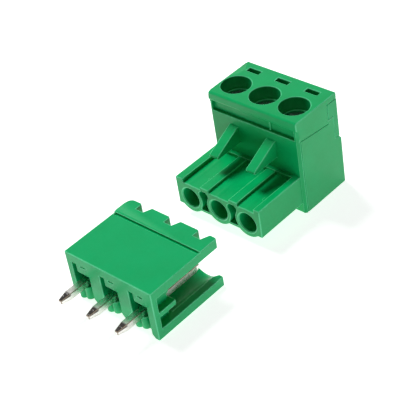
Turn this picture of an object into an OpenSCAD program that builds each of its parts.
// Two-part 5.08 mm terminal block: an open-ended board header with solder pins, and a screw-clamp
// plug that slides onto it. The halves stand on one plane, in line and apart, ready to be mated.
// X runs along the poles, +Y from the board to the wires, Z up. The origin is the centre of the
// whole set's footprint.

/* [Poles] */
// Distance between poles
pitch = 5.08; // [5:0.01:5.2]
// Sideways place of the middle pole in the housings
pole_shift = -0.2; // [-0.3:0.05:0]
// Height of the mating axis above the standing plane
axis_z = 3.3; // [3.2:0.05:3.4]

/* [Housings] */
// Width of both housings along the poles
body_w = 15.3; // [15.2:0.05:15.6]
// Clear distance between the header's mouth and the plug's tongue when unplugged
mating_gap = 8.4; // [5:0.1:20]

/* [Header] */
// Depth of the header housing from the board to its mouth
header_depth = 12.4; // [12:0.1:13]
// Height of the header housing without its raised band
header_h = 7.75; // [7.7:0.01:7.8]
// Thickness of the header's castellated top wall
top_wall = 1.35; // [1.2:0.05:1.35]
// Thickness of the header's bottom wall between the barrel grooves
bottom_wall = 1.5; // [1.4:0.05:1.55]
// Distance from the board to the floor of the header's cavity
base_depth = 3.4; // [3:0.1:3.5]
// Height of the raised latching band on the top wall
band_h = 0.2; // [0.1:0.05:0.2]
// Width of the raised latching band
band_w = 3.2; // [2.8:0.1:3.6]

/* [Header pins] */
// Side of the square pins
pin_side = 1; // [0.9:0.05:1]
// Length of the solder tails beyond the board face
tail_len = 4.2; // [3:0.1:5]
// Reach of the pins into the cavity, from the board face
pin_reach = 10.9; // [9:0.1:11.5]

/* [Plug] */
// Height of the plug's clamp tower
tower_h = 15; // [14.8:0.1:16]
// Length of the plug's tongue, from its tip to the tower's front wall
tongue_len = 8.7; // [8.6:0.05:9]
// Whole length of the plug
plug_len = 17.5; // [17.4:0.1:18.2]
// Height of the tongue's side walls
tongue_top = 6.1; // [6:0.05:6.3]
// Radius of the pin sockets in the tongue
socket_r = 1.5; // [1.3:0.05:1.5]
// Outer radius of the barrels around the sockets
barrel_r = 2.3; // [2.2:0.05:2.35]
// Radius of the screwdriver holes
driver_r = 2.15; // [2.1:0.05:2.2]

/* [Clamp] */
// Radius of the clamp screws' shanks
shank_r = 1.25; // [1.15:0.05:1.25]
// Radius of the clamp screws' heads
head_r = 1.75; // [1.65:0.05:1.8]
// Rise of a clamp cage from open to closed
cage_rise = 2.25; // [1.35:0.45:2.25]

/* [Hidden] */
$fn = 48;
eps = 0.01;
poles = 3;
housing_green = [0.10, 0.63, 0.38];
cover_green = [0.09, 0.57, 0.34];
tin = [0.82, 0.82, 0.80];
nickel = [0.70, 0.69, 0.66];
zinc = [0.62, 0.65, 0.68];

// Where the halves stand along Y
set_len = tail_len + header_depth + mating_gap + plug_len;
board_y = tail_len - set_len / 2;
tongue_y = board_y + header_depth + mating_gap;
half_w = body_w / 2;

// Header
post_d = 0.9;
post_w = 2.1;
post_shift = 0.08;
end_post_w = 0.95;
end_wall_w = 1.15;
end_wall_d = 0.9;
end_sill_w = 0.7;
frame_z = header_h - top_wall;
base_x0 = -half_w + 0.65;
base_x1 = half_w - 1;
base_back = post_d - 0.2;
open_left = 0.7;
open_right = 1.2;
base_front = base_depth + 0.45;
groove_r = barrel_r + 0.15;
flare_r = 0.35;
flare_l = 0.8;
rib_z0 = 3.3;
rib_t = 0.8;
band_groove_w = 0.3;
band_groove_d = 0.15;
notch_d = 1.25;
notch_w = 1.25;
notch_slope = 0.55;
notch_start = -0.15;
pocket_d = 1;
pocket_z = 5;
pocket_slot_w = 0.75;
panel_y = 0.05;

// Tongue
tongue_x0 = -half_w;
tongue_x1 = half_w - 0.4;
web_z = bottom_wall + 0.15;
channel_z = tongue_top - 0.55;
rib_z = tongue_top - 0.15;
rib_w = 1.5;
rib_shift = 0.3;
wall_l = 1.3;
wall_r = 1.05;
border_w = 0.55;
socket_len = 2.2;
socket_chamfer = 0.15;
spring_room_r = 1.75;
keyhole_d = 5;
keyhole_z0 = web_z + 0.4;
keyhole_z1 = axis_z + 2;

// Latch fins
fin_gap = 0.08;
fin_z = header_h + band_h + fin_gap;
fin_w = 1.55;
fin_spread = 3.25;
fin_mid = -0.45;
fin_tip_y = 3.95;
fin_tip_h = 0.55;
fin_root_z = 10.7;

// Tower
tower_rear = plug_len - 0.35;
shoulder_z = 7.8;
lip_r = 0.35;
lip_out = 0.15;
lip_z = 13.6;
marker_z = 12;
marker_d = 0.5;
marker_x0 = -half_w + 0.25;
marker_x1 = half_w - 0.7;
marker_stop_x = 2.5;
screw_y = 11.8;
driver_len = 1.9;
probe_y = 15.25;
probe_w = 2.1;
probe_l = 0.8;
probe_room_y = 14.2;
probe_room_half_w = 1.6;

// Rear cover
cover_y = 16.2;
cover_z0 = 8;
cover_z1 = 14;
tab_y = 15.2;
tab_z = 11.7;
tab_t = 0.8;
cover_gap = 0.06;

// Clamp
bar_z0 = 4.7;
bar_t = 0.6;
bar_half_w = 1.15;
bar_end = 14.6;
leg_y0 = 9.1;
leg_z0 = 2.3;
leg_t = 0.6;
leaf_t = 0.3;
leaf_h = 1.7;
cage_half_w = 1.9;
cage_y0 = 10;
cage_y1 = 13.6;
cage_z0 = 0.7;
cage_wall = 0.55;
cage_floor = 0.7;
cage_cap = 1.6;
cage_ceiling = bar_z0 + bar_t + 0.05;
thread_gap = 0.05;
cavity_half_w = 2;
cavity_y0 = 9.85;
cavity_z0 = 0.65;
cavity_z1 = cage_ceiling + cage_cap + cage_rise + 0.15;
entry_z1 = 7.2;
head_z = cavity_z1 + 1.9;
head_h = 1.75;
head_room_r = head_r + 0.1;

function pole_x(k) = pole_shift + pitch * (k - 2);
function between_x(k) = pole_x(k) + pitch / 2;

// ---------- shared shapes ----------

// A profile drawn with X as Y and Y as Z, extruded along +X from x0 for w
module along_x(x0, w) {
    translate([x0, 0, 0]) rotate([90, 0, 90]) linear_extrude(height = w) children();
}

// A profile drawn with X as X and Y as Z, extruded along +Y from y0 for l
module along_y(y0, l) {
    translate([0, y0 + l, 0]) rotate([90, 0, 0]) linear_extrude(height = l) children();
}

// A box between two corners
module block(x0, x1, y0, y1, z0, z1) {
    translate([x0, y0, z0]) cube([x1 - x0, y1 - y0, z1 - z0]);
}

// ---------- header ----------

// Plan of the castellated top wall, with a rounded left corner and sloped notches at its mouth
module top_wall_plan() {
    corner = 0.9;
    nick = 0.3;
    difference() {
        translate([-half_w, 0]) square([body_w, header_depth]);
        difference() {
            translate([-half_w - eps, header_depth - corner]) square([corner + eps, corner + eps]);
            translate([-half_w + corner, header_depth - corner]) circle(r = corner);
        }
        difference() {
            translate([half_w - nick, header_depth - nick]) square([nick + eps, nick + eps]);
            translate([half_w - nick, header_depth - nick]) circle(r = nick);
        }
        for (k = [1 : poles]) translate([pole_x(k) + notch_start, header_depth])
            polygon([
                [-0.32, eps], [-0.1, -0.09], [0, -0.32], [0, -notch_d], [notch_w, -notch_d],
                [notch_w + notch_slope, 0], [notch_w + notch_slope, eps]
            ]);
    }
}

// Board-side post: its foot is cut on a slant, clear of the pin beside it
module post(x0, w) {
    foot = [0.5, 0.75];
    along_y(0, post_d + eps) polygon([
        [x0, foot[1] + foot[0]], [x0 + foot[0], foot[1]], [x0 + w, 2.8],
        [x0 + w, frame_z + eps], [x0, frame_z + eps]
    ]);
}

// Full-height board-side wall at the right end, with a sill that joins it to the bottom wall
module end_wall() {
    foot = end_wall_w - end_sill_w;
    along_y(0, end_wall_d) polygon([
        [half_w - end_sill_w, 0], [half_w, 0], [half_w, frame_z + eps],
        [half_w - end_wall_w, frame_z + eps], [half_w - end_wall_w, foot]
    ]);
    block(half_w - end_sill_w, half_w, 0.1, end_wall_d + 0.2, 0, bottom_wall);
}

// Side profile of the base that holds the pins: a round rail over a square step
module base_profile() {
    rail_r = 0.75;
    rail_z = 5.55;
    translate([base_back, bottom_wall - eps])
        square([base_depth - base_back, frame_z - bottom_wall + 2 * eps]);
    translate([base_depth - rail_r + 0.55, rail_z]) circle(r = rail_r);
}

// Left edge of the pocket round pin k, where the post beside it ends
function pocket_x0(k) = (k == 1) ? -half_w + end_post_w : between_x(k - 1) + post_shift + post_w / 2;

// Thin panel over the pocket, almost flush with the frame
module pocket_panel(k) {
    block(pocket_x0(k) + pocket_slot_w, pole_x(k) + 1.7, panel_y, post_d + eps, pocket_z, frame_z + eps);
}

// Pocket round pin k on the board side: a deep slot beside it, a slit and the recess round its root
module pin_pocket(k) {
    left = pocket_x0(k);
    slit = [0.85, 0.5, 0.28];
    block(left, left + pocket_slot_w, -eps, post_d + 1.5, bottom_wall + 0.4, frame_z - 0.1);
    translate([pole_x(k) + 0.1, panel_y - eps, frame_z - slit[2] - 0.04]) cube(slit);
    block(
        left + pocket_slot_w - eps, pole_x(k) + 1.3, -eps, post_d + pocket_d, bottom_wall, pocket_z
    );
}

// Two upright round lobes under the pin's root, one lower than the other
module root_lobes(k) {
    lobe_r = 0.62;
    top = axis_z - 0.6;
    for (foot = [[-1.1, 0.35], [0.15, 0.7]])
        translate([pole_x(k) + foot[0], lobe_r + 0.04, foot[1]]) cylinder(r = lobe_r, h = top - foot[1]);
}

module header_housing() {
    mouth = header_depth;
    color(housing_green) translate([0, board_y, 0]) difference() {
        union() {
            translate([0, 0, header_h - top_wall]) linear_extrude(height = top_wall) top_wall_plan();
            intersection() {
                translate([0, 0, header_h - eps]) linear_extrude(height = band_h + eps) top_wall_plan();
                block(-half_w, half_w, mouth - band_w, mouth, header_h - 0.1, header_h + band_h);
            }
            block(-half_w, half_w, 0, post_d, frame_z, header_h);
            block(-half_w, half_w, post_d + 0.1, mouth, 0, bottom_wall);
            along_x(base_x0, base_x1 - base_x0) base_profile();
            block(-half_w, half_w, post_d - 0.1, base_front, rib_z0, rib_z0 + rib_t);
            block(-half_w, base_x0 + eps, 0, post_d + 0.1, 2.8, frame_z + eps);
            post(-half_w, end_post_w);
            for (k = [1 : poles - 1]) post(between_x(k) + post_shift - post_w / 2, post_w);
            end_wall();
            for (k = [1 : poles]) pocket_panel(k);
        }
        for (k = [1 : poles]) {
            pin_pocket(k);
            translate([pole_x(k), base_front + 0.05, axis_z]) rotate([-90, 0, 0])
                cylinder(r = groove_r, h = mouth);
            translate([pole_x(k), mouth - flare_l, axis_z]) rotate([-90, 0, 0])
                cylinder(r1 = groove_r, r2 = groove_r + flare_r, h = flare_l + eps);
            block(
                pole_x(k) - pin_side / 2, pole_x(k) + pin_side / 2, -1, mouth,
                axis_z - pin_side / 2, axis_z + pin_side / 2
            );
        }
        // open ends under the rib
        for (x = [[-half_w - eps, -half_w + open_left], [half_w - open_right, half_w + eps]])
            block(x[0], x[1], post_d + 0.1, base_front + 0.05, bottom_wall, rib_z0);
        // shut-off groove that ends short of both sides, in front of the band
        block(
            -half_w + 0.3, half_w - 0.3, mouth - band_w - band_groove_w, mouth - band_w,
            header_h - band_groove_d, header_h + eps
        );
    }
    color(housing_green) translate([0, board_y, 0]) for (k = [1 : poles]) root_lobes(k);
}

// Outline of a square pin with a pyramid at both ends, length along Y
module pin_outline() {
    tip = 0.55;
    tip_l = 1.5;
    nose_l = 0.9;
    h = pin_side / 2;
    polygon([
        [-h, -tail_len + tip_l], [-h * tip, -tail_len], [h * tip, -tail_len], [h, -tail_len + tip_l],
        [h, pin_reach - nose_l], [h * tip, pin_reach], [-h * tip, pin_reach], [-h, pin_reach - nose_l]
    ]);
}

module header_pin(k) {
    color(tin) translate([pole_x(k), board_y, axis_z]) intersection() {
        translate([0, 0, -pin_side]) linear_extrude(height = 2 * pin_side) pin_outline();
        rotate([0, 90, 0]) translate([0, 0, -pin_side]) linear_extrude(height = 2 * pin_side)
            pin_outline();
    }
}

// ---------- plug housing ----------

// Section of the tongue: a deck with channels and ribs over three barrels joined by webs
module tongue_section() {
    translate([tongue_x0, web_z]) square([tongue_x1 - tongue_x0, channel_z - web_z]);
    translate([tongue_x0, web_z]) square([wall_l, tongue_top - web_z]);
    translate([tongue_x1 - wall_r, web_z]) square([wall_r, tongue_top - web_z]);
    for (k = [1 : poles - 1]) translate([between_x(k) + rib_shift - rib_w / 2, web_z])
        square([rib_w, rib_z - web_z]);
    for (k = [1 : poles]) translate([pole_x(k), axis_z]) circle(r = barrel_r);
}

// Keyhole between two barrels: cut corners above, and concave sides that follow the barrels
module keyhole_section(k) {
    skin_r = barrel_r - 0.18;
    cut = 0.4;
    w = 0.78;
    foot_w = 0.7;
    difference() {
        translate([between_x(k), 0]) union() {
            polygon([
                [-w, axis_z], [-w, keyhole_z1 - cut], [-w + cut, keyhole_z1], [w - cut, keyhole_z1],
                [w, keyhole_z1 - cut], [w, axis_z]
            ]);
            translate([-foot_w, keyhole_z0]) square([2 * foot_w, axis_z - keyhole_z0 + eps]);
        }
        for (j = [k, k + 1]) translate([pole_x(j), axis_z]) circle(r = skin_r);
    }
}

// Side profile of the tower, with a rounded lip over the marker groove and a stepped rear
module tower_profile() {
    lip_y = tongue_len - lip_out + lip_r;
    polygon([
        [tongue_len, 0], [plug_len, 0], [plug_len, shoulder_z - 0.4], [tower_rear, shoulder_z],
        [tower_rear, tower_h], [lip_y, tower_h], [lip_y, lip_z + lip_r], [tongue_len, lip_z + lip_r]
    ]);
    for (z = [lip_z + lip_r, tower_h - lip_r]) translate([lip_y, z]) circle(r = lip_r);
    translate([lip_y - lip_r, lip_z + lip_r]) square([lip_r + eps, tower_h - lip_z - 2 * lip_r]);
}

// Latch fin that reaches from the tower over the tongue, leaving room for the header's top wall
module latch_fin(x) {
    along_x(x - fin_w / 2, fin_w) {
        polygon([
            [fin_tip_y + fin_tip_h / 2, fin_z], [tongue_len + eps, fin_z],
            [tongue_len + eps, fin_root_z], [tongue_len - 0.2, fin_root_z],
            [fin_tip_y + 0.1, fin_z + fin_tip_h - 0.05]
        ]);
        translate([fin_tip_y + fin_tip_h / 2, fin_z + fin_tip_h / 2]) circle(d = fin_tip_h);
    }
}

// Everything one pole needs inside the housing
module pole_room(k) {
    x = pole_x(k);
    room_w = probe_room_half_w;
    floor_z = tower_h - driver_len;
    // pin socket, with a rim chamfer, and the wider room for the contact's leaves
    translate([x, -eps, axis_z]) rotate([-90, 0, 0]) cylinder(r = socket_r, h = socket_len + 2 * eps);
    translate([x, -eps, axis_z]) rotate([-90, 0, 0])
        cylinder(r1 = socket_r + socket_chamfer, r2 = socket_r, h = socket_chamfer);
    translate([x, socket_len, axis_z]) rotate([-90, 0, 0])
        cylinder(r = spring_room_r, h = leg_y0 - socket_len);
    // slot that seats the contact's leg
    block(x - bar_half_w, x + bar_half_w, leg_y0 - eps, cavity_y0 + eps, leg_z0, bar_z0 + bar_t);
    // clamp cage room, open to the wire side
    block(x - cavity_half_w, x + cavity_half_w, cavity_y0, plug_len + eps, cavity_z0, entry_z1);
    block(x - cavity_half_w, x + cavity_half_w, cavity_y0, probe_room_y, entry_z1 - eps, cavity_z1);
    // cored pocket behind the screw, reached by the test-probe slot and closed by the rear cover
    block(x - room_w, x + room_w, probe_room_y - eps, cover_y + eps, shoulder_z + 0.4, lip_z);
    block(
        x - room_w, x + room_w, probe_room_y - eps, probe_room_y + 0.8,
        entry_z1 - eps, shoulder_z + 0.5
    );
    block(x - probe_w / 2, x + probe_w / 2, probe_y, probe_y + probe_l, lip_z - 0.6, tower_h + eps);
    // screwdriver hole, head room and shank hole
    translate([x, screw_y, floor_z]) cylinder(r = driver_r, h = driver_len + eps);
    translate([x, screw_y, head_z]) cylinder(r = head_room_r, h = floor_z - head_z + eps);
    translate([x, screw_y, cavity_z1 - eps])
        cylinder(r = shank_r + 0.15, h = head_z - cavity_z1 + 2 * eps);
}

// Rebate in the housing's rear that takes the cover and its side tabs, with a fine gap round them
module cover_seat() {
    gap = cover_gap;
    block(-half_w - eps, half_w + eps, cover_y, tower_rear + 0.5, cover_z0 - gap, cover_z1 + gap);
    for (x = [-half_w - eps, half_w - tab_t - gap])
        block(x, x + tab_t + gap + eps, tab_y - gap, cover_y + eps, tab_z - gap, cover_z1 + gap);
}

// Groove for a strip of pole labels, with a small stop rib on its back wall
module marker_groove() {
    back = tongue_len + marker_d;
    difference() {
        block(marker_x0, marker_x1, tongue_len - lip_out - 0.1, back, marker_z, lip_z);
        translate([marker_stop_x, back - 0.2, marker_z]) cube([0.25, 1, lip_z - marker_z]);
    }
}

module plug_housing() {
    edge = 0.35;
    seam = 0.15;
    color(housing_green) translate([0, tongue_y, 0]) difference() {
        union() {
            along_y(0, tongue_len + eps) tongue_section();
            block(tongue_x0, tongue_x1, tongue_len - border_w, tongue_len + eps, web_z, tongue_top);
            along_x(-half_w, body_w) tower_profile();
            for (side = [-1, 1]) latch_fin(fin_mid + side * fin_spread);
        }
        for (k = [1 : poles]) pole_room(k);
        for (k = [1 : poles - 1]) along_y(-eps, keyhole_d) keyhole_section(k);
        marker_groove();
        // bevelled front edge of the tower
        translate([half_w, tongue_len, -eps]) rotate([0, 0, 45])
            cube([edge * sqrt(2), edge * sqrt(2), 2 * lip_z], center = true);
        // fine parting lines across the right side and down its front
        translate([half_w, tongue_len, marker_z - 0.15]) rotate([-7, 0, 0])
            cube([seam, 2 * (tab_y - tongue_len), seam], center = true);
        translate([half_w, tongue_len + 0.5, -eps]) cube([seam, seam, 2 * (marker_z - 0.2)], center = true);
        cover_seat();
    }
}

module rear_cover() {
    color(cover_green) translate([0, tongue_y, 0]) {
        block(-half_w, half_w, cover_y, tower_rear, cover_z0, cover_z1);
        for (side = [-1, 1])
            translate([side * (half_w - tab_t / 2), (tab_y + cover_y + eps) / 2, (tab_z + cover_z1) / 2])
                cube([tab_t, cover_y - tab_y + eps, cover_z1 - tab_z], center = true);
    }
}

// ---------- contacts and clamps ----------

// Plan of one spring leaf of a contact: it leans in to the pin and flares at its mouth
module leaf_plan() {
    root_x = 0.8;
    touch_x = pin_side / 2 + 0.03;
    flare_x = 0.85;
    mouth_y = socket_len + 0.3;
    touch_y = [mouth_y + 1.1, mouth_y + 1.7];
    polygon([
        [root_x, leg_y0 + eps], [touch_x, touch_y[1]], [touch_x, touch_y[0]], [flare_x, mouth_y],
        [flare_x + leaf_t, mouth_y], [touch_x + leaf_t, touch_y[0] + 0.1],
        [touch_x + leaf_t, touch_y[1]], [root_x + leaf_t, leg_y0 + eps]
    ]);
}

// One bent strip: current bar through the cage, leg down to the mating axis, and two spring leaves
module contact(k) {
    color(tin) translate([pole_x(k), tongue_y, 0]) {
        block(-bar_half_w, bar_half_w, leg_y0, bar_end, bar_z0, bar_z0 + bar_t);
        block(-bar_half_w, bar_half_w, leg_y0, leg_y0 + leg_t, leg_z0, bar_z0 + eps);
        translate([0, 0, axis_z - leaf_h / 2]) linear_extrude(height = leaf_h) {
            leaf_plan();
            mirror([1, 0]) leaf_plan();
        }
    }
}

// Rectangular cage that the screw draws up, so that its floor presses the wire to the bar
module clamp_cage(k) {
    color(nickel) translate([pole_x(k), tongue_y, 0]) difference() {
        block(-cage_half_w, cage_half_w, cage_y0, cage_y1, cage_z0, cage_ceiling + cage_cap);
        block(
            -cage_half_w + cage_wall, cage_half_w - cage_wall, cage_y0 - eps, cage_y1 + eps,
            cage_z0 + cage_floor, cage_ceiling
        );
        translate([0, screw_y, cage_ceiling - eps])
            cylinder(r = shank_r + thread_gap, h = cage_cap + 2 * eps);
    }
}

// Slotted clamp screw: its tip bears on the current bar, its head turns in the housing
module clamp_screw(k) {
    slot_w = 0.6;
    slot_d = 0.8;
    rim = 0.2;
    seat_gap = 0.02;
    tip_z = bar_z0 + bar_t + seat_gap;
    color(zinc) translate([pole_x(k), tongue_y + screw_y, 0]) difference() {
        union() {
            translate([0, 0, tip_z]) cylinder(r = shank_r, h = head_z - tip_z + 0.1);
            translate([0, 0, head_z + seat_gap]) cylinder(r = head_r, h = head_h - rim);
            translate([0, 0, head_z + seat_gap + head_h - rim - eps])
                cylinder(r1 = head_r, r2 = head_r - rim, h = rim);
        }
        translate([-head_r - 1, -slot_w / 2, head_z + head_h - slot_d])
            cube([2 * head_r + 2, slot_w, slot_d + 1]);
    }
}

header_housing();
header_pin(1);  // header_pin_1
header_pin(2);  // header_pin_2
header_pin(3);  // header_pin_3
plug_housing();
rear_cover();
contact(1);  // contact_1
contact(2);  // contact_2
contact(3);  // contact_3
clamp_cage(1);  // clamp_cage_1
clamp_cage(2);  // clamp_cage_2
clamp_cage(3);  // clamp_cage_3
clamp_screw(1);  // clamp_screw_1
clamp_screw(2);  // clamp_screw_2
clamp_screw(3);  // clamp_screw_3
